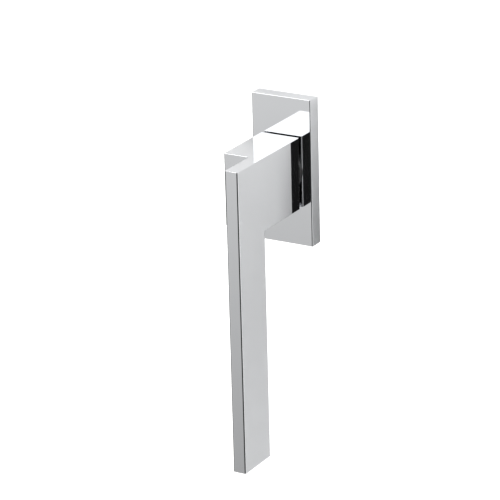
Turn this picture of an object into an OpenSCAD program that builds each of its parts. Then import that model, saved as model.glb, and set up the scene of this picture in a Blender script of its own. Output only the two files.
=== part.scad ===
// Tilt and turn window handle: a square-cut lever on a tall rectangular rose, with its
// four-position detent mechanism, square spindle and fixings.
// X points right, Y into the window sash and Z up. The origin is on the spindle axis, in
// the mounting plane at the back of the rose. The lever hangs straight down at rest.

/* [Rose] */
// Width of the rose cover
rose_w = 30.5; // [30.5:0.1:34]
// Height of the rose cover
rose_h = 70; // [68:0.5:80]
// Depth of the rose cover, from the mounting plane to its front face
rose_t = 7.4; // [7.4:0.1:9]
// Wall of the rose cover
cover_wall = 1; // [0.8:0.1:1]
// Distance between the two fixing screws
screw_spacing = 43; // [42:0.5:44]
// Radius of the locating pegs
peg_r = 5; // [4:0.5:5]
// Length of the locating pegs behind the mounting plane
peg_len = 6; // [4:0.5:8]

/* [Lever] */
// Distance from the mounting plane to the front of the grip
projection = 63.5; // [55:0.5:70]
// Distance from the spindle axis to the bottom of the grip
drop = 127.3; // [110:0.1:140]
// Width of the neck
neck_w = 19.6; // [19.6:0.1:24]
// Height of the neck
neck_h = 34; // [30:0.5:40]
// Gap between the neck and the rose cover
neck_gap = 1.2; // [0.6:0.1:1.4]
// Width of the grip blade
grip_t = 6.6; // [6:0.1:9]
// Depth of the grip blade, from front to back
grip_depth = 22.8; // [20:0.1:26]
// Distance from the front of the grip to the front of the neck beside it
notch_depth = 21.1; // [18:0.1:22]
// Rounding of the upright edges
edge_r = 0.4; // [0.3:0.1:0.6]

/* [Spindle] */
// Width of the square spindle
spindle_w = 7; // [6.8:0.1:7]
// Length of the spindle in front of the mounting plane
spindle_in = 24; // [22:1:26]
// Length of the spindle behind the mounting plane
spindle_out = 18; // [16:1:40]
// Distance from the mounting plane to the grub screw
grub_y = 17.5; // [15:0.5:19]
// Length of the grub screw
grub_len = 10; // [8:1:12]

/* [Mechanism] */
// Radius of the drive hub in its bearings
hub_r = 6; // [5.6:0.1:6]
// Width of the detent cam across its flats
cam_w = 18; // [17:0.5:18]
// Radius of the rounded corners of the detent cam
cam_corner_r = 10.2; // [9.8:0.1:10.4]
// Thickness of the leaf springs
spring_t = 0.5; // [0.4:0.1:0.5]
// Length of the leaf springs
spring_len = 27.6; // [26:0.2:28]
// Length of the fixing screws
screw_len = 20; // [16:1:45]

/* [Hidden] */
$fn = 64;

CHROME = [0.84, 0.85, 0.87];
ZINC = [0.62, 0.64, 0.66];
STEEL = [0.50, 0.52, 0.55];
NYLON = [0.12, 0.12, 0.13];

// Fits: turning in a bearing, square on square, and pieces that only lie beside each other
running = 0.05;
slip = 0.05;
loose = 0.1;

// Lever, measured along Y from the mounting plane towards the room, so every Y is negative
neck_back = -(rose_t + neck_gap);
neck_front = -(projection - notch_depth);
grip_front = -projection;
grip_back = grip_front + grip_depth;
grip_x = (neck_w - grip_t) / 2;
collar_r = 8;

// Layers of the rose, as depths in front of the mounting plane
base_front = rose_t - cover_wall;
collar_end = base_front + loose;
web_back = base_front - 2.2;
washer_t = 0.35;
washer_r = hub_r + 3;
cam_front = web_back - washer_t - running;
cam_t = 1.8;
cam_back = cam_front - cam_t;
shoulder_r = hub_r + 1.5;
lid_front = 0.9;
lid_back = 0.1;

// Base plate and the things let into it
base_w = rose_w - 2 * cover_wall - 2 * loose;
base_h = rose_h - 2 * cover_wall - 2 * loose;
spring_x = cam_w / 2 + running + spring_t / 2;
pocket_w = cam_w + 6.4;
pocket_h = 22;
slot_w = spring_t + 2 * loose;
lid_w = 25;
lid_h = 31;
lid_corner_r = 1;
rivet_r = 1;
rivet_head_r = 1.7;
rivet_head_t = 0.6;
rivet_play = 0.02;
rivet_x = 5;
rivet_z = 13.2;

// M5 countersunk fixing screws
screw_r = 2.5;
shank_r = 2.3;
screw_hole_r = 2.65;
screw_head_r = 4.6;
screw_head_t = 2.4;
recess_w = 5.2;
recess_slot = 1;
recess_depth = 1.5;
screw_z = [screw_spacing / 2, -screw_spacing / 2];

// Cut corners of the spindle: its width across corners over its width across flats
spindle_corners = 1.33;

// M5 grub screw with a hexagon socket
grub_hole_r = 2.5;
grub_r = 2.45;
grub_tip_r = 1.5;
grub_tip_h = 0.9;
hex_r = 1.45;
hex_depth = 3;

// Nylon bush
bush_r = 9;
flange_r = 10.2;
flange_t = neck_gap - 2 * loose;

// Spring clips that hold the cover on the ends of the base plate
clip_w = 8;
clip_t = 0.4;
clip_foot = 1.3;
clip_rise = 0.85;
clip_run = 1.2;
clip_y = -base_front / 2;
notch_floor = base_h / 2 - 1;
clip_z = notch_floor + 0.05;
groove_depth = 0.3;

// Shape drawn in the X-Z plane and swept along Y
module along_y(y0, y1) {
    translate([0, y1, 0])
        rotate([90, 0, 0])
            linear_extrude(height = y1 - y0)
                children();
}

// Cone or cylinder along Y, with radius r0 at y0 and r1 at y1
module cone_y(r0, r1, y0, y1) {
    translate([0, y0, 0])
        rotate([-90, 0, 0])
            cylinder(r1 = r0, r2 = r1, h = y1 - y0);
}

module rod_y(r, y0, y1) {
    translate([0, y0, 0])
        rotate([-90, 0, 0])
            cylinder(r = r, h = y1 - y0);
}

// Rectangle about the origin with round corners
module round_rect(w, h, r) {
    square([w - 2 * r, h], center = true);
    square([w, h - 2 * r], center = true);
    for (x = [-1, 1], y = [-1, 1])
        translate([x * (w / 2 - r), y * (h / 2 - r)])
            circle(r);
}

// Upright block with round upright edges, centred at x and running from y0 to y1
module upright_block(x, w, y0, y1, z0, z1) {
    translate([x, (y0 + y1) / 2, z0])
        linear_extrude(height = z1 - z0)
            round_rect(w, y1 - y0, edge_r);
}

module spindle_square(w) {
    square(w, center = true);
}

module at_rivets() {
    for (x = [-1, 1], z = [-1, 1])
        translate([x * rivet_x, 0, z * rivet_z])
            children();
}

module lever() {
    color(CHROME)
        difference() {
            union() {
                upright_block(0, neck_w, neck_front, neck_back, -neck_h / 2, neck_h / 2);
                upright_block(grip_x, grip_t, grip_front, grip_back, -drop, neck_h / 2);
                rod_y(collar_r, neck_back - 1, -collar_end);
            }
            along_y(-spindle_in - 1, 0)
                spindle_square(spindle_w + 2 * slip);
            translate([0, -grub_y, -neck_h / 2 - 1])
                cylinder(r = grub_hole_r, h = neck_h / 2 + 1);
        }
}

module grub_screw() {
    color(STEEL)
        translate([0, -grub_y, -spindle_w / 2 - grub_len])
            difference() {
                union() {
                    cylinder(r = grub_r, h = grub_len - grub_tip_h);
                    translate([0, 0, grub_len - grub_tip_h])
                        cylinder(r1 = grub_r, r2 = grub_tip_r, h = grub_tip_h);
                }
                translate([0, 0, -1])
                    cylinder(r = hex_r, h = hex_depth + 1, $fn = 6);
            }
}

module spindle() {
    color(STEEL)
        along_y(-spindle_in, spindle_out)
            intersection() {
                spindle_square(spindle_w);
                rotate(45)
                    spindle_square(spindle_w * spindle_corners);
            }
}

module drive_cam() {
    color(STEEL)
        difference() {
            union() {
                rod_y(hub_r, -base_front + running, -cam_front);
                intersection() {
                    along_y(-cam_front, -cam_back)
                        square(cam_w, center = true);
                    rod_y(cam_corner_r, -cam_front, -cam_back);
                }
                rod_y(shoulder_r, -cam_back, -lid_front - running);
                rod_y(hub_r, -lid_front - running, -lid_back - running);
            }
            along_y(-rose_t, rose_t)
                spindle_square(spindle_w + 2 * slip);
        }
}

module rose_cover() {
    color(CHROME)
        difference() {
            along_y(-rose_t, 0)
                round_rect(rose_w, rose_h, edge_r);
            along_y(-base_front, 1)
                round_rect(rose_w - 2 * cover_wall, rose_h - 2 * cover_wall, edge_r);
            rod_y(bush_r, -rose_t - 1, 0);
            translate([0, clip_y, 0])
                cube([clip_w + 1, 2 * clip_run, rose_h - 2 * (cover_wall - groove_depth)], center = true);
        }
}

module neck_bush() {
    color(NYLON)
        difference() {
            union() {
                rod_y(flange_r, -rose_t - flange_t, -rose_t);
                rod_y(bush_r, -rose_t, -base_front);
            }
            rod_y(collar_r + running, -rose_t - 1, 0);
        }
}

module base_plate() {
    color(ZINC)
        difference() {
            union() {
                along_y(-base_front, 0)
                    round_rect(base_w, base_h, edge_r);
                for (z = screw_z)
                    translate([0, 0, z])
                        rod_y(peg_r, -1, peg_len);
            }
            rod_y(hub_r + running, -rose_t, 1);
            along_y(-web_back, 1)
                square([pocket_w, pocket_h], center = true);
            for (x = [-spring_x, spring_x])
                translate([x, 0, 0])
                    along_y(-web_back, 1)
                        square([slot_w, spring_len + 2 * loose], center = true);
            along_y(-lid_front, 1)
                round_rect(lid_w + 2 * loose, lid_h + 2 * loose, lid_corner_r);
            at_rivets() {
                rod_y(rivet_r + rivet_play, -rose_t, 0);
                cone_y(rivet_head_r, rivet_r, -base_front, -base_front + rivet_head_t);
            }
            for (z = screw_z)
                translate([0, 0, z]) {
                    rod_y(screw_hole_r, -rose_t, peg_len + 1);
                    cone_y(screw_head_r, screw_hole_r, -base_front, -base_front + screw_head_t);
                }
            for (z = [-1, 1])
                translate([0, -base_front / 2, z * (notch_floor + 1)])
                    cube([clip_w + 2 * loose, 2 * rose_t, 2], center = true);
        }
}

module thrust_washer() {
    color(NYLON)
        difference() {
            rod_y(washer_r, -web_back, -web_back + washer_t);
            rod_y(hub_r + loose, -rose_t, 0);
        }
}

// Flat leaf spring that presses on one flat of the cam; side is -1 or 1
module leaf_spring(side) {
    color(STEEL)
        translate([side * spring_x, 0, 0])
            along_y(-web_back + loose, -lid_front - loose)
                square([spring_t, spring_len], center = true);
}

module mechanism_lid() {
    color(STEEL)
        difference() {
            along_y(-lid_front, -lid_back)
                round_rect(lid_w, lid_h, lid_corner_r);
            rod_y(hub_r + running, -rose_t, 0);
            at_rivets() {
                rod_y(rivet_r + rivet_play, -rose_t, 0);
                cone_y(rivet_r, rivet_head_r, -lid_back - rivet_head_t, -lid_back);
            }
        }
}

// Countersunk rivet through the base plate and the lid; i runs from 1 to 4
module lid_rivet(i) {
    x = (i % 2 == 1) ? -rivet_x : rivet_x;
    z = (i <= 2) ? rivet_z : -rivet_z;
    color(STEEL)
        translate([x, 0, z]) {
            cone_y(rivet_head_r, rivet_r, -base_front, -base_front + rivet_head_t);
            rod_y(rivet_r, -base_front + rivet_head_t, -lid_back - rivet_head_t);
            cone_y(rivet_r, rivet_head_r, -lid_back - rivet_head_t, -lid_back);
        }
}

// Countersunk M5 screw, plain through the peg and threaded beyond it
module fixing_screw(z) {
    head_end = -base_front + screw_head_t - 0.2;
    color(STEEL)
        translate([0, 0, z])
            difference() {
                union() {
                    cone_y(screw_head_r - 0.2, shank_r, -base_front + 0.1, head_end);
                    rod_y(shank_r, head_end, peg_len);
                    rod_y(screw_r, peg_len, screw_len - base_front - 1);
                    cone_y(screw_r, screw_r - 1, screw_len - base_front - 1, screw_len - base_front);
                }
                for (a = [45, 135])
                    rotate([0, a, 0])
                        translate([0, -base_front, 0])
                            cube([recess_w, 2 * recess_depth, recess_slot], center = true);
            }
}

// Bowed leaf that snaps into the groove inside one end of the cover; side is -1 or 1
module cover_clip(side) {
    foot = clip_run + clip_foot;
    color(STEEL)
        translate([-clip_w / 2, clip_y, 0])
            rotate([90, 0, 90])
                linear_extrude(height = clip_w)
                    scale([1, side])
                        translate([0, clip_z])
                            polygon([
                                [-foot, 0], [-clip_run + 0.2, 0], [0, clip_rise - 0.1],
                                [clip_run - 0.2, 0], [foot, 0], [foot, clip_t],
                                [clip_run, clip_t], [0, clip_rise + clip_t],
                                [-clip_run, clip_t], [-foot, clip_t]
                            ]);
}

lever();
grub_screw();
spindle();
drive_cam();
rose_cover();
neck_bush();
base_plate();
thrust_washer();
leaf_spring(-1);  // left_spring
leaf_spring(1);  // right_spring
mechanism_lid();
lid_rivet(1);  // lid_rivet_1
lid_rivet(2);  // lid_rivet_2
lid_rivet(3);  // lid_rivet_3
lid_rivet(4);  // lid_rivet_4
fixing_screw(screw_z[0]);  // upper_screw
fixing_screw(screw_z[1]);  // lower_screw
cover_clip(1);  // upper_cover_clip
cover_clip(-1);  // lower_cover_clip
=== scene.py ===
"""Looks of a tilt and turn window handle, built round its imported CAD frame.

Metres, Z up. The wall is the plane y = 0, the room lies towards -Y, and the handle turns about the Y axis.
"""
import math

import bmesh
import bpy
from mathutils import Matrix, Vector


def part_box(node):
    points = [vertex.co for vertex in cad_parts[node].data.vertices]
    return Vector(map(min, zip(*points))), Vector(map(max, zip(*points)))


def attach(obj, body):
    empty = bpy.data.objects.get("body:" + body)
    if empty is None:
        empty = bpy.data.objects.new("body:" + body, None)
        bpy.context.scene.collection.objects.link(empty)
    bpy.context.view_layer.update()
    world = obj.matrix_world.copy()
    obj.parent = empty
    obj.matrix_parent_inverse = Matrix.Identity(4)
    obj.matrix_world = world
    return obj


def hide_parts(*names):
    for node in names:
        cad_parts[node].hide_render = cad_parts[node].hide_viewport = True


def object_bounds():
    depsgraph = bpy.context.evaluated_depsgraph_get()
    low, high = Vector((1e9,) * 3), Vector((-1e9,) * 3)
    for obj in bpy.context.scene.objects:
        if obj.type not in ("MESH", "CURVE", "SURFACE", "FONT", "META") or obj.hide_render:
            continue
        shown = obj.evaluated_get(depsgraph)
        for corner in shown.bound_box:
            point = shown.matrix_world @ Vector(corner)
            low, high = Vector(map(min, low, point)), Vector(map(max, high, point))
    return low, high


MM = 0.001
MICRON = 0.001 * MM

# Camera, as seen from the room: to the right of the handle and a little above it
CAMERA_AZIMUTH = math.radians(30.65)
CAMERA_ELEVATION = math.radians(20.25)
CAMERA_ROLL = math.radians(-1.52)
CAMERA_DISTANCE = 1.2997
CAMERA_LENS = 204.4
CAMERA_SENSOR = 36
CAMERA_FAR = 20
CAMERA_AIM = Vector((-9.9, -21.3, -36.0)) * MM

# Radii of the rounded edges
NECK_EDGE_R = 0.8 * MM
EDGE_R = 0.75 * MM
COVER_EDGE_R = 0.55 * MM
FINE_EDGE_R = 0.15 * MM
CRISP_EDGE_R = 0.05 * MM

# Lever: what the boxes of the CAD nodes do not give directly
GRIP_T = 6.6 * MM
GRIP_DEPTH = 22.8 * MM
NOTCH_DEPTH = 21.1 * MM
NECK_H = 34 * MM
BUSH_PLAY = 0.2 * MM
COLLAR_R = 8.0 * MM
SOCKET_HALF = 3.55 * MM
GRUB_HOLE_R = 2.5 * MM
GRUB_HOLE_TOP = -3.6 * MM
GRUB_SINK_DEPTH = 0.4 * MM
GRUB_Y = -17.5 * MM

# Rose cover
COVER_WALL = 1.0 * MM
ROSE_HOLE_R = 9.0 * MM
GROOVE_W = 2.4 * MM
GROOVE_PLAY = 0.1 * MM
GROOVE_END_PLAY = 0.5 * MM

# M5 countersunk fixing screws
SCREW_R = 2.5 * MM
SHANK_R = 2.3 * MM
HEAD_H = 2.3 * MM
HEAD_RIM = 0.15 * MM
PITCH = 0.8 * MM
THREAD_DEPTH = 0.42 * MM
THREAD_START_Y = 6 * MM
LEAD_IN = 1.0 * MM
ROWS_PER_TURN = 8
SCREW_SIDES = 40
RECESS_W = 5.2 * MM
RECESS_T = 1.0 * MM
RECESS_DEPTH = 1.5 * MM
RECESS_END_TAPER = 0.9 * MM
RECESS_SIDE_TAPER = 0.1 * MM
RECESS_TURNS = (math.radians(45), math.radians(135))

# Mesh building: sides of round shapes, how far cutters stand out of what they cut, the distance under
# which two places count as one, and the corners of a square
ROUND_SIDES = 96
HOLE_SIDES = 64
CUT_PAST = 1.0 * MM
SHORT_CUT_PAST = 0.5 * MM
NEAR = 1.0 * MM
SQUARE = ((-1, -1), (1, -1), (1, 1), (-1, 1))

# Light tent. Heights are the Z part of a direction of length 1.
FRONT_HEIGHTS = (-0.43, -0.28)
FRONT_GREYS = (0.47, 0.87)
OVERHEAD_HEIGHTS = (0.0, 0.30)
OVERHEAD_LIGHT = 1.3
LOW_HEIGHTS = (-0.12, 0.08)
CAMERA_SIDE = (math.sin(CAMERA_AZIMUTH), -math.cos(CAMERA_AZIMUTH), -0.36)
# Each flag: its direction, the cosines from it at its edge and where it is full, and its darkness
FLAGS = (
    (CAMERA_SIDE, 0.90, 0.95, 0.90),
    (CAMERA_SIDE, 0.66, 0.80, 0.80),
    ((-1.0, 0.15, -0.3), 0.62, 0.80, 0.70),
)
# The one extra light has the same kind of row, with its brightness last
RIGHT_LIGHT = ((1.0, 0.1, -0.5), 0.94, 0.98, 0.6)

# Reflector wall: its size and its greys, with painted light and shade in them. A pair of distances is where
# a change of grey starts and ends.
WALL_REACH = 0.9
WALL_GAP = 0.2 * MM
WALL_GREY = 0.50
# painted light: how much paler the wall is towards the upper left, and the span of z - x it rises over
WALL_PAINTED_LIGHT_LIFT = 0.085
WALL_PAINTED_LIGHT_SLANT = (-75 * MM, 35 * MM)
# painted light towards the far right
WALL_PAINTED_LIGHT_RIGHT = (50 * MM, 75 * MM)
WALL_PAINTED_LIGHT_RIGHT_LIFT = 1.12
# painted shade towards the bottom of the wall
WALL_PAINTED_SHADE_HEIGHTS = (-90 * MM, -30 * MM)
WALL_LOW_PAINTED_SHADE = 0.92
# painted contact shadow just right of the rose: its greys from bottom to top, and its reach
CONTACT_SHADOW_GREYS = (0.58, 1.08)
CONTACT_REACH = 13 * MM
# painted shade left of the rose, from a little above its middle down
CORNER_TOP = (10 * MM, 30 * MM)
CORNER_PAINTED_SHADE = 0.8
CORNER_REACH = 6 * MM

# Floor and key light
FLOOR_SIZE = 6.0
FLOOR_DROP = 0.5
KEY_PLACE = Vector((-0.7, -0.9, 1.1))
KEY_SIZE = 0.8
KEY_POWER = 5


# ---------------------------------------------------------------- mesh helpers

def object_from(bm, name):
    """Object in the scene with the mesh of bm, which is used up."""
    mesh = bpy.data.meshes.new(name)
    bm.to_mesh(mesh)
    bm.free()
    piece = bpy.data.objects.new(name, mesh)
    bpy.context.scene.collection.objects.link(piece)
    return piece


def block_mesh(xs, ys, zs, inside):
    """Closed mesh round the cells of a grid for which inside(i, j, k) is true, with flat faces merged."""
    bm = bmesh.new()
    corner = {}

    def vert(i, j, k):
        if (i, j, k) not in corner:
            corner[i, j, k] = bm.verts.new((xs[i], ys[j], zs[k]))
        return corner[i, j, k]

    def filled(i, j, k):
        in_range = 0 <= i < len(xs) - 1 and 0 <= j < len(ys) - 1 and 0 <= k < len(zs) - 1
        return in_range and inside(i, j, k)

    # for each side of a cell: the neighbour's offset and the side's four corners, outward
    sides = {
        (-1, 0, 0): ((0, 0, 0), (0, 0, 1), (0, 1, 1), (0, 1, 0)),
        (1, 0, 0): ((1, 0, 0), (1, 1, 0), (1, 1, 1), (1, 0, 1)),
        (0, -1, 0): ((0, 0, 0), (1, 0, 0), (1, 0, 1), (0, 0, 1)),
        (0, 1, 0): ((0, 1, 0), (0, 1, 1), (1, 1, 1), (1, 1, 0)),
        (0, 0, -1): ((0, 0, 0), (0, 1, 0), (1, 1, 0), (1, 0, 0)),
        (0, 0, 1): ((0, 0, 1), (1, 0, 1), (1, 1, 1), (0, 1, 1)),
    }
    for i in range(len(xs) - 1):
        for j in range(len(ys) - 1):
            for k in range(len(zs) - 1):
                if not filled(i, j, k):
                    continue
                for (di, dj, dk), corners in sides.items():
                    if not filled(i + di, j + dj, k + dk):
                        bm.faces.new([vert(i + a, j + b, k + c) for a, b, c in corners])
    # the merging compares face normals, which have to be worked out first
    bm.normal_update()
    bmesh.ops.dissolve_limit(
        bm, angle_limit=math.radians(1), verts=bm.verts[:], edges=bm.edges[:]
    )
    return bm


def apply_modifiers(piece):
    """Turns the piece's modifiers into mesh."""
    graph = bpy.context.evaluated_depsgraph_get()
    graph.update()
    mesh = bpy.data.meshes.new_from_object(piece.evaluated_get(graph))
    piece.modifiers.clear()
    piece.data = mesh


def round_edges(piece, radius, weight_of, segments=4):
    """Rounds every edge; weight_of gives an edge's share of the radius from its two end points."""
    mesh = piece.data
    weights = mesh.attributes.new("bevel_weight_edge", "FLOAT", "EDGE")
    for edge in mesh.edges:
        weights.data[edge.index].value = weight_of([mesh.vertices[v].co for v in edge.vertices])
    bevel = piece.modifiers.new("edges", "BEVEL")
    bevel.width = radius
    bevel.segments = segments
    bevel.limit_method = "WEIGHT"
    bevel.harden_normals = True
    apply_modifiers(piece)


def join_rings(bm, first, second):
    """Faces between two rings with the same number of vertices."""
    count = len(first)
    for n in range(count):
        m = (n + 1) % count
        bm.faces.new((first[n], first[m], second[m], second[n]))


def is_upright(ends):
    """Whether an edge between two points runs up and down."""
    return abs(ends[0].z - ends[1].z) > NEAR


def box_block(name, low, high):
    """Closed rectangular block between two corners."""
    def whole(i, j, k):
        return True

    return object_from(block_mesh(*zip(low, high), whole), name)


def cylinder_y(name, radius, y0, y1):
    """Closed cylinder round the Y axis."""
    bm = bmesh.new()
    along_y = Matrix.Rotation(math.radians(90), 4, "X")
    bmesh.ops.create_cone(
        bm, cap_ends=True, segments=ROUND_SIDES, radius1=radius, radius2=radius,
        depth=y1 - y0, matrix=Matrix.Translation((0, (y0 + y1) / 2, 0)) @ along_y,
    )
    return object_from(bm, name)


def carve(piece, other, operation="DIFFERENCE"):
    """Cuts one closed mesh out of another, or joins them with "UNION". The other one is used up."""
    boolean = piece.modifiers.new("cut", "BOOLEAN")
    boolean.operation = operation
    boolean.solver = "EXACT"
    boolean.object = other
    apply_modifiers(piece)
    bpy.data.objects.remove(other)


def smooth(piece, angle=30):
    """Smooth shading, with edges above the angle kept sharp and flat faces kept flat."""
    bm = bmesh.new()
    bm.from_mesh(piece.data)
    for face in bm.faces:
        face.smooth = True
    for edge in bm.edges:
        sharp = len(edge.link_faces) == 2 and edge.calc_face_angle(0) > math.radians(angle)
        edge.smooth = not sharp
    bm.to_mesh(piece.data)
    bm.free()
    weighted = piece.modifiers.new("normals", "WEIGHTED_NORMAL")
    weighted.keep_sharp = True
    # at this weight the large faces decide the normals
    weighted.weight = 100
    apply_modifiers(piece)


# ---------------------------------------------------------------- material helpers

def new_material(name):
    """New node material, as (material, nodes, links, shader)."""
    material = bpy.data.materials.new(name + "_finish")
    material.use_nodes = True
    nodes = material.node_tree.nodes
    return material, nodes, material.node_tree.links, nodes["Principled BSDF"]


def noise_of(nodes, links, scale, detail=4.0, stretch=(1, 1, 1)):
    """Noise in the piece's own metres; a stretch below 1 lengthens its grain along that axis."""
    place = nodes.new("ShaderNodeTexCoord")
    mapping = nodes.new("ShaderNodeMapping")
    mapping.inputs["Scale"].default_value = stretch
    links.new(place.outputs["Object"], mapping.inputs["Vector"])
    noise = nodes.new("ShaderNodeTexNoise")
    noise.inputs["Scale"].default_value = scale
    noise.inputs["Detail"].default_value = detail
    links.new(mapping.outputs["Vector"], noise.inputs["Vector"])
    return noise.outputs["Fac"]


def spread(nodes, links, noise, low, high):
    """Maps a noise, most of which lies between 0.3 and 0.7, to a range of values."""
    rule = nodes.new("ShaderNodeMapRange")
    rule.inputs["From Min"].default_value = 0.3
    rule.inputs["From Max"].default_value = 0.7
    rule.inputs["To Min"].default_value = low
    rule.inputs["To Max"].default_value = high
    links.new(noise, rule.inputs["Value"])
    return rule.outputs["Result"]


def blend_colour(nodes, links, value, first, second):
    """Colour between two others: the first at 0, the second at 1."""
    mix = nodes.new("ShaderNodeMix")
    mix.data_type = "RGBA"
    mix.inputs["A"].default_value = (*first, 1)
    mix.inputs["B"].default_value = (*second, 1)
    links.new(value, mix.inputs["Factor"])
    return mix.outputs["Result"]


def add_bump(nodes, links, shader, height, strength, distance):
    """Fine relief from a height between 0 and 1."""
    bump = nodes.new("ShaderNodeBump")
    bump.inputs["Strength"].default_value = strength
    bump.inputs["Distance"].default_value = distance
    links.new(height, bump.inputs["Height"])
    links.new(bump.outputs["Normal"], shader.inputs["Normal"])


def surface(name, first, second, metallic, rough, grain, bump, stretch=(1, 1, 1)):
    """Material whose colour, roughness and fine relief follow a noise.

    rough is (lowest, highest); grain is the noise scale per metre; bump is (strength, depth in metres).
    """
    material, nodes, links, shader = new_material(name)
    shader.inputs["Metallic"].default_value = metallic
    value = noise_of(nodes, links, grain, stretch=stretch)
    links.new(blend_colour(nodes, links, value, first, second), shader.inputs["Base Color"])
    links.new(spread(nodes, links, value, *rough), shader.inputs["Roughness"])
    fine = noise_of(nodes, links, grain * 3, stretch=stretch)
    add_bump(nodes, links, shader, fine, *bump)
    return material


# ---------------------------------------------------------------- materials

def chrome():
    """Mirror chrome: faint polishing haze and a very slight waviness."""
    material, nodes, links, shader = new_material("polished_chrome")
    shader.inputs["Metallic"].default_value = 1.0
    haze = noise_of(nodes, links, scale=60, detail=2)
    links.new(
        blend_colour(nodes, links, haze, (0.690, 0.700, 0.715), (0.715, 0.722, 0.735)),
        shader.inputs["Base Color"],
    )
    links.new(spread(nodes, links, haze, 0.025, 0.055), shader.inputs["Roughness"])
    waves = noise_of(nodes, links, scale=45, detail=1)
    add_bump(nodes, links, shader, waves, strength=0.25, distance=20 * MICRON)
    return material


def zinc_plate():
    """Bright zinc plating, slightly blue."""
    return surface("zinc_plate", (0.56, 0.58, 0.61), (0.63, 0.645, 0.665), metallic=1.0,
                   rough=(0.24, 0.34), grain=160, bump=(0.08, 6 * MICRON))


def drawn_steel():
    """Cold-drawn bar with fine lines along Y."""
    return surface("drawn_steel", (0.50, 0.515, 0.53), (0.62, 0.63, 0.645), metallic=1.0,
                   rough=(0.22, 0.36), grain=1800, bump=(0.15, 6 * MICRON), stretch=(1, 0.03, 1))


def spring_steel():
    """Rolled spring strip."""
    return surface("spring_steel", (0.36, 0.37, 0.38), (0.50, 0.50, 0.51), metallic=1.0,
                   rough=(0.25, 0.4), grain=700, bump=(0.1, 10 * MICRON))


def hardened_steel():
    """Dark steel as it comes from hardening."""
    return surface("hardened_steel", (0.20, 0.20, 0.21), (0.34, 0.33, 0.33), metallic=1.0,
                   rough=(0.3, 0.5), grain=600, bump=(0.15, 20 * MICRON))


def black_steel():
    """Black oxide."""
    return surface("black_steel", (0.02, 0.02, 0.022), (0.05, 0.05, 0.05), metallic=0.9,
                   rough=(0.35, 0.5), grain=800, bump=(0.2, 20 * MICRON))


def cast_zinc():
    """Matt die-cast zinc."""
    return surface("cast_zinc", (0.30, 0.31, 0.32), (0.42, 0.43, 0.44), metallic=0.85,
                   rough=(0.42, 0.6), grain=500, bump=(0.5, 60 * MICRON))


def black_nylon():
    """Black moulded nylon."""
    return surface("black_nylon", (0.012, 0.012, 0.013), (0.03, 0.03, 0.03), metallic=0.0,
                   rough=(0.4, 0.55), grain=1200, bump=(0.2, 20 * MICRON))


def white_nylon():
    """Natural nylon, slightly yellow."""
    return surface("white_nylon", (0.70, 0.69, 0.64), (0.78, 0.77, 0.73), metallic=0.0,
                   rough=(0.4, 0.5), grain=900, bump=(0.2, 20 * MICRON))


def stage_white():
    """Matt white for the floor."""
    return surface("stage_white", (0.88, 0.88, 0.88), (0.90, 0.90, 0.90), metallic=0.0,
                   rough=(0.7, 0.8), grain=20, bump=(0.05, 100 * MICRON))


def dress(piece, material, edge):
    """Gives a CAD node's object its material, and breaks its sharp edges."""
    piece.data.materials.clear()
    piece.data.materials.append(material)
    weld = piece.modifiers.new("weld", "WELD")
    weld.merge_threshold = 1 * MICRON
    bevel = piece.modifiers.new("edges", "BEVEL")
    bevel.width = edge
    bevel.segments = 2
    bevel.limit_method = "ANGLE"
    bevel.angle_limit = math.radians(40)
    bevel.harden_normals = True


# ---------------------------------------------------------------- lever

def lever_piece():
    """Lever with rounded edges: neck, grip blade with its notch, collar and grub screw hole."""
    low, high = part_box("lever")
    grip_left = high.x - GRIP_T
    grip_back = low.y + GRIP_DEPTH
    notch_back = low.y + NOTCH_DEPTH
    neck_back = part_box("neck_bush")[0].y - BUSH_PLAY
    neck_bottom = high.z - NECK_H
    xs = [low.x, grip_left, high.x]
    ys = [low.y, notch_back, grip_back, neck_back]
    zs = [low.z, neck_bottom, high.z]

    def inside(i, j, k):
        grip = i == 1 and j < 2
        neck = k == 1 and j > 0
        return grip or neck

    def weight(ends):
        at_back = min(ends[0].y, ends[1].y) > neck_back - NEAR
        if at_back:
            return 1.0 if is_upright(ends) else CRISP_EDGE_R / NECK_EDGE_R
        return (EDGE_R if is_upright(ends) else FINE_EDGE_R) / NECK_EDGE_R

    piece = object_from(block_mesh(xs, ys, zs, inside), "lever_body")
    round_edges(piece, NECK_EDGE_R, weight)
    carve(piece, cylinder_y("collar", COLLAR_R, neck_back - CUT_PAST, high.y), "UNION")
    socket_low = (-SOCKET_HALF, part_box("spindle")[0].y - CUT_PAST, -SOCKET_HALF)
    socket_high = (SOCKET_HALF, CUT_PAST, SOCKET_HALF)
    carve(piece, box_block("socket", socket_low, socket_high))
    carve(piece, grub_cutter(neck_bottom))
    smooth(piece)
    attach(piece, "handle")
    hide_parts("lever")
    return piece


def grub_cutter(bottom):
    """Hole with a small countersink, up into the underside of the neck."""
    # the countersink's side is at 45 degrees
    sink_r = GRUB_HOLE_R + GRUB_SINK_DEPTH + SHORT_CUT_PAST
    bm = bmesh.new()
    rings = []
    for radius, z in (
        (sink_r, bottom - SHORT_CUT_PAST),
        (GRUB_HOLE_R, bottom + GRUB_SINK_DEPTH),
        (GRUB_HOLE_R, GRUB_HOLE_TOP),
    ):
        ring = []
        for n in range(HOLE_SIDES):
            turn = 2 * math.pi * n / HOLE_SIDES
            ring.append(bm.verts.new((radius * math.cos(turn), GRUB_Y + radius * math.sin(turn), z)))
        rings.append(ring)
    for lower, upper in zip(rings, rings[1:]):
        join_rings(bm, lower, upper)
    bm.faces.new(list(reversed(rings[0])))
    bm.faces.new(rings[-1])
    return object_from(bm, "grub_cutter")


# ---------------------------------------------------------------- rose

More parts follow.
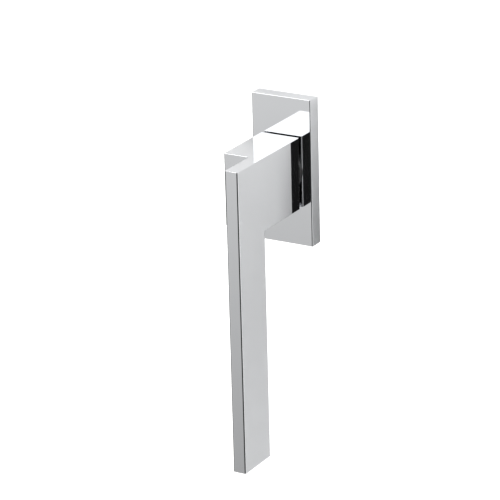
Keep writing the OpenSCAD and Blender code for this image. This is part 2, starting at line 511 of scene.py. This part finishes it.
def rose_piece():
    """Rose cover: a thin shell with rounded outer edges, a hole for the bush and a groove for the clips."""
    low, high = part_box("rose_cover")

    def weight(ends):
        at_wall = min(ends[0].y, ends[1].y) > high.y - NEAR
        if at_wall or not is_upright(ends):
            return FINE_EDGE_R / COVER_EDGE_R
        return 1.0

    piece = box_block("rose_shell", low, high)
    round_edges(piece, COVER_EDGE_R, weight)
    wall = Vector((COVER_WALL, COVER_WALL, COVER_WALL))
    # the hollow goes on past the open back
    hollow_high = high - wall + Vector((0, 2 * COVER_WALL, 0))
    carve(piece, box_block("rose_hollow", low + wall, hollow_high))
    # one cut through the hollow gives the groove inside each end, where the spring clips catch
    clip_low, clip_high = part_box("upper_cover_clip")
    middle = Vector((0, (clip_low.y + clip_high.y) / 2, 0))
    reach = Vector((clip_high.x + GROOVE_END_PLAY, GROOVE_W / 2, clip_high.z + GROOVE_PLAY))
    carve(piece, box_block("rose_groove", middle - reach, middle + reach))
    carve(piece, cylinder_y("rose_hole", ROSE_HOLE_R, low.y - CUT_PAST, high.y))
    smooth(piece)
    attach(piece, "rose")
    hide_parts("rose_cover")
    return piece


# ---------------------------------------------------------------- fixing screws

def screw_section(low_y, high_y, head_r):
    """The screw's outline as a function of the angle round it: rows of (y, radius)."""
    head = [(low_y, head_r), (low_y + HEAD_RIM, head_r), (low_y + HEAD_H, SHANK_R)]
    count = math.ceil((high_y - THREAD_START_Y) / PITCH * ROWS_PER_TURN) + ROWS_PER_TURN
    runout = PITCH / 4

    def section(turn):
        rows = list(head)
        for n in range(-ROWS_PER_TURN, count):
            # rows climb with the angle, so that the crest of the thread is a true helix
            climb = THREAD_START_Y + PITCH * (n / ROWS_PER_TURN + turn / (2 * math.pi))
            y = min(max(climb, THREAD_START_Y), high_y)
            depth = THREAD_DEPTH * abs(1 - 2 * (n % ROWS_PER_TURN) / ROWS_PER_TURN)
            depth *= min(1.0, (y - THREAD_START_Y) / PITCH)
            crest = SHANK_R + (SCREW_R - SHANK_R) * min(1.0, (y - THREAD_START_Y) / runout)
            point = max(0.0, y - (high_y - LEAD_IN))
            rows.append((y, min(crest - depth, SCREW_R - point)))
        return rows

    return section


def screw_piece(node):
    """Countersunk M5 screw with a real thread and a cross recess, in place of its CAD node."""
    low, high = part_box(node)
    middle = (low.z + high.z) / 2
    section = screw_section(low.y, high.y, (high.z - low.z) / 2)
    bm = bmesh.new()
    columns = []
    for n in range(SCREW_SIDES + 1):
        turn = 2 * math.pi * n / SCREW_SIDES
        column = []
        for y, radius in section(turn):
            column.append(bm.verts.new((radius * math.cos(turn), y, middle + radius * math.sin(turn))))
        columns.append(column)
    for first, second in zip(columns, columns[1:]):
        for n in range(len(first) - 1):
            bm.faces.new((first[n], first[n + 1], second[n + 1], second[n]))
    # the last column is at the first one's angle, with its rows one pitch further along, so they merge
    bmesh.ops.remove_doubles(bm, verts=bm.verts[:], dist=2 * MICRON)
    bmesh.ops.holes_fill(bm, edges=[e for e in bm.edges if e.is_boundary], sides=0)
    bmesh.ops.recalc_face_normals(bm, faces=bm.faces[:])
    piece = object_from(bm, node + "_threaded")
    for turn in RECESS_TURNS:
        carve(piece, recess_cutter(low.y, middle, turn))
    smooth(piece, angle=35)
    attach(piece, "rose")
    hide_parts(node)
    return piece


def recess_cutter(face, middle, turn):
    """One of the two crossed slots of the recess, narrowing towards its floor."""
    bm = bmesh.new()
    along = Vector((math.cos(turn), 0, math.sin(turn)))
    beside = Vector((-math.sin(turn), 0, math.cos(turn)))
    corners = []
    for y, half_w, half_t in (
        (face - SHORT_CUT_PAST, RECESS_W / 2, RECESS_T / 2),
        (face + RECESS_DEPTH, RECESS_W / 2 - RECESS_END_TAPER, RECESS_T / 2 - RECESS_SIDE_TAPER),
    ):
        for a, b in SQUARE:
            place = along * (a * half_w) + beside * (b * half_t)
            corners.append(bm.verts.new((place.x, y, middle + place.z)))
    mouth, floor = corners[:4], corners[4:]
    bm.faces.new(mouth)
    bm.faces.new(floor)
    join_rings(bm, mouth, floor)
    bmesh.ops.recalc_face_normals(bm, faces=bm.faces[:])
    return object_from(bm, "recess_cutter")


# ---------------------------------------------------------------- camera and light

def place_camera():
    """Camera that looks at the aim point, with its small roll."""
    back = Vector((
        math.sin(CAMERA_AZIMUTH) * math.cos(CAMERA_ELEVATION),
        -math.cos(CAMERA_AZIMUTH) * math.cos(CAMERA_ELEVATION),
        math.sin(CAMERA_ELEVATION),
    ))
    level_right = Vector((math.cos(CAMERA_AZIMUTH), math.sin(CAMERA_AZIMUTH), 0))
    right = Matrix.Rotation(CAMERA_ROLL, 3, back) @ level_right
    up = back.cross(right)
    data = bpy.data.cameras.new("camera")
    data.lens = CAMERA_LENS
    data.sensor_width = CAMERA_SENSOR
    data.clip_end = CAMERA_FAR
    camera = bpy.data.objects.new("camera", data)
    bpy.context.scene.collection.objects.link(camera)
    camera.rotation_mode = "QUATERNION"
    camera.location = CAMERA_AIM + back * CAMERA_DISTANCE
    camera.rotation_quaternion = Matrix((right, up, back)).transposed().to_quaternion()
    bpy.context.scene.camera = camera


class NodeMaths:
    """Short names for the arithmetic nodes of one node tree."""

    def __init__(self, tree):
        self.nodes, self.links = tree.nodes, tree.links

    def math(self, operation, *values):
        """One arithmetic step on numbers and sockets."""
        node = self.nodes.new("ShaderNodeMath")
        node.operation = operation
        for socket, value in zip(node.inputs, values):
            if isinstance(value, (int, float)):
                socket.default_value = value
            else:
                self.links.new(value, socket)
        return node.outputs[0]

    def product(self, first, *others):
        """All the values multiplied."""
        for value in others:
            first = self.math("MULTIPLY", first, value)
        return first

    def line(self, value, low, high, at_low, at_high):
        """Straight line between two points, held beyond them."""
        return self.map_range("LINEAR", value, low, high, at_low, at_high)

    def ramp(self, value, low, high, at_low, at_high):
        """Smooth step from at_low to at_high as value goes from low to high."""
        return self.map_range("SMOOTHSTEP", value, low, high, at_low, at_high)

    def map_range(self, interpolation, value, *limits):
        """Map Range node; the limits are from low, from high, to low and to high."""
        node = self.nodes.new("ShaderNodeMapRange")
        node.interpolation_type = interpolation
        for socket, limit in zip(("From Min", "From Max", "To Min", "To Max"), limits):
            node.inputs[socket].default_value = limit
        self.links.new(value, node.inputs["Value"])
        return node.outputs["Result"]

    def facing(self, direction, towards):
        """Cosine between a direction and a fixed one."""
        node = self.nodes.new("ShaderNodeVectorMath")
        node.operation = "DOT_PRODUCT"
        self.links.new(direction, node.inputs[0])
        node.inputs[1].default_value = Vector(towards).normalized()
        return node.outputs["Value"]


def tent_light(tree):
    """Strength of the light tent in every direction."""
    maths = NodeMaths(tree)
    direction = tree.nodes.new("ShaderNodeTexCoord").outputs["Generated"]
    split = tree.nodes.new("ShaderNodeSeparateXYZ")
    tree.links.new(direction, split.inputs[0])
    height = split.outputs["Z"]
    # the front darkens towards the floor, and white comes in overhead
    front = maths.line(height, *FRONT_HEIGHTS, *FRONT_GREYS)
    overhead = maths.ramp(height, *OVERHEAD_HEIGHTS, 0.0, OVERHEAD_LIGHT)
    tent = maths.math("ADD", front, overhead)
    # the flags and the extra light stay below the horizon
    low_down = maths.ramp(height, *LOW_HEIGHTS, 1.0, 0.0)
    for towards, edge, full, darkness in FLAGS:
        flag = maths.ramp(maths.facing(direction, towards), edge, full, 0.0, darkness)
        tent = maths.product(tent, maths.math("SUBTRACT", 1.0, maths.product(flag, low_down)))
    towards, edge, full, brightness = RIGHT_LIGHT
    right = maths.ramp(maths.facing(direction, towards), edge, full, 0.0, brightness)
    return maths.math("ADD", tent, maths.product(right, low_down))


def studio_world():
    """Light tent for the reflections: bright above, grey in front, dark round the camera and on the left.

    The camera itself sees plain white.
    """
    world = bpy.data.worlds.new("studio")
    bpy.context.scene.world = world
    world.use_nodes = True
    tree = world.node_tree
    tree.nodes.clear()
    studio = tree.nodes.new("ShaderNodeBackground")
    plain = tree.nodes.new("ShaderNodeBackground")
    for background in (studio, plain):
        background.inputs["Color"].default_value = (1, 1, 1, 1)
    tree.links.new(tent_light(tree), studio.inputs["Strength"])
    path = tree.nodes.new("ShaderNodeLightPath")
    mix = tree.nodes.new("ShaderNodeMixShader")
    tree.links.new(path.outputs["Is Camera Ray"], mix.inputs["Fac"])
    tree.links.new(studio.outputs[0], mix.inputs[1])
    tree.links.new(plain.outputs[0], mix.inputs[2])
    out = tree.nodes.new("ShaderNodeOutputWorld")
    tree.links.new(mix.outputs[0], out.inputs["Surface"])


def key_light():
    """Soft light from the upper left."""
    data = bpy.data.lights.new("key", "AREA")
    data.shape = "DISK"
    data.size = KEY_SIZE
    data.energy = KEY_POWER
    light = bpy.data.objects.new("key", data)
    bpy.context.scene.collection.objects.link(light)
    light.location = KEY_PLACE
    light.rotation_mode = "QUATERNION"
    light.rotation_quaternion = (-KEY_PLACE).to_track_quat("-Z", "Y")


# ---------------------------------------------------------------- stage

def wall_sheet():
    """Flat wall round the rose, hidden from the camera, so that it shows in reflections alone."""
    low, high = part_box("rose_cover")
    left, right = low.x - WALL_GAP, high.x + WALL_GAP
    bottom, top = low.z - WALL_GAP, high.z + WALL_GAP
    bm = bmesh.new()
    hole = [bm.verts.new((x, 0, z)) for x, z in ((left, bottom), (right, bottom), (right, top), (left, top))]
    rim = [bm.verts.new((a * WALL_REACH, 0, b * WALL_REACH)) for a, b in SQUARE]
    join_rings(bm, rim, hole)
    wall = object_from(bm, "reflector_wall")
    wall.visible_camera = False
    return wall


def wall_painted_light():
    """Matt grey with painted light and shade: paler towards the upper left and the far right, painted shadow
    just right of the rose.
    """
    material, nodes, links, shader = new_material("wall_painted_light")
    shader.inputs["Roughness"].default_value = 0.9
    shader.inputs["Specular IOR Level"].default_value = 0.0
    place = nodes.new("ShaderNodeTexCoord")
    split = nodes.new("ShaderNodeSeparateXYZ")
    links.new(place.outputs["Object"], split.inputs[0])
    x, z = split.outputs["X"], split.outputs["Z"]
    low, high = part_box("rose_cover")
    maths = NodeMaths(material.node_tree)
    # painted light: paler towards the upper left, standing in for the light falling from there
    painted_light_upper_left = maths.ramp(maths.math("SUBTRACT", z, x), *WALL_PAINTED_LIGHT_SLANT, 0.0, 1.0)
    grey_with_painted_light = maths.math("ADD", WALL_GREY, maths.product(painted_light_upper_left, WALL_PAINTED_LIGHT_LIFT))
    # painted light: paler towards the far right, which the chrome's right sides mirror
    painted_light_far_right = maths.ramp(x, *WALL_PAINTED_LIGHT_RIGHT, 1.0, WALL_PAINTED_LIGHT_RIGHT_LIFT)
    # painted shade: darker towards the bottom of the wall
    low_down = maths.ramp(z, *WALL_PAINTED_SHADE_HEIGHTS, WALL_LOW_PAINTED_SHADE, 1.0)
    # painted contact shadow on the rose's right: full beside it, gone at its reach and on the rose's left
    contact = maths.line(z, low.z, high.z, *CONTACT_SHADOW_GREYS)
    past_reach = maths.ramp(x, high.x, high.x + CONTACT_REACH, 0.0, 1.0)
    to_left = maths.ramp(x, low.x, high.x - MM, 1.0, 0.0)
    clear = maths.math("MAXIMUM", past_reach, to_left)
    lightening = maths.product(clear, maths.math("SUBTRACT", 1.0, contact))
    painted_contact_shadow = maths.math("ADD", contact, lightening)
    # painted shade: darker to the left of the rose, from a little above its middle down
    lower = maths.ramp(z, *CORNER_TOP, CORNER_PAINTED_SHADE, 0.0)
    beyond = maths.ramp(x, low.x - CORNER_REACH, low.x - MM, 1.0, 0.0)
    corner = maths.math("SUBTRACT", 1.0, maths.product(lower, beyond))
    grey = nodes.new("ShaderNodeCombineColor")
    value = maths.product(grey_with_painted_light, painted_light_far_right, low_down, painted_contact_shadow, corner)
    for channel in grey.inputs:
        links.new(value, channel)
    links.new(grey.outputs[0], shader.inputs["Base Color"])
    return material


def floor_sheet(lowest):
    """Pale floor well below the handle's lowest point. The chrome mirrors the light tent instead of it."""
    level = lowest - FLOOR_DROP
    bm = bmesh.new()
    bm.faces.new([bm.verts.new((a * FLOOR_SIZE, b * FLOOR_SIZE, level)) for a, b in SQUARE])
    floor = object_from(bm, "floor")
    floor.visible_glossy = False
    return floor


def build_stage(lowest):
    """Reflector wall and floor, which are not part of the object."""
    wall = wall_sheet()
    wall.data.materials.append(wall_painted_light())
    floor = floor_sheet(lowest)
    floor.data.materials.append(stage_white())


# ---------------------------------------------------------------- the scene

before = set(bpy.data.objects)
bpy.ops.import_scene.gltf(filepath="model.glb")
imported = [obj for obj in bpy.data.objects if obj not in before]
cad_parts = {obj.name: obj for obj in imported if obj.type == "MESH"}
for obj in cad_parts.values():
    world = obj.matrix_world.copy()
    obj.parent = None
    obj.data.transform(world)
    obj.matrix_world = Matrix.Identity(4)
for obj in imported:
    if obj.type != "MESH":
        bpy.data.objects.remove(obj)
cad_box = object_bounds()

chrome_finish = chrome()
lever_piece().data.materials.append(chrome_finish)
rose_piece().data.materials.append(chrome_finish)
zinc_finish = zinc_plate()
for node_name in ("upper_screw", "lower_screw"):
    screw_piece(node_name).data.materials.append(zinc_finish)

# the other CAD nodes, their finish, and how far their sharp edges are broken
for node_names, finish, edge_r in (
    (["spindle"], drawn_steel(), 0.25 * MM),
    (["mechanism_lid"], zinc_finish, 0.12 * MM),
    ([f"lid_rivet_{n}" for n in range(1, 5)], zinc_finish, 0.05 * MM),
    (["left_spring", "right_spring", "upper_cover_clip", "lower_cover_clip"], spring_steel(), 0.04 * MM),
    (["drive_cam"], hardened_steel(), 0.1 * MM),
    (["grub_screw"], black_steel(), 0.08 * MM),
    (["base_plate"], cast_zinc(), 0.2 * MM),
    (["neck_bush"], black_nylon(), 0.08 * MM),
    (["thrust_washer"], white_nylon(), 0.05 * MM),
):
    for node_name in node_names:
        dress(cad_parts[node_name], finish, edge_r)

place_camera()
studio_world()
build_stage(cad_box[0].z)
key_light()
bpy.context.scene.view_settings.view_transform = "Standard"
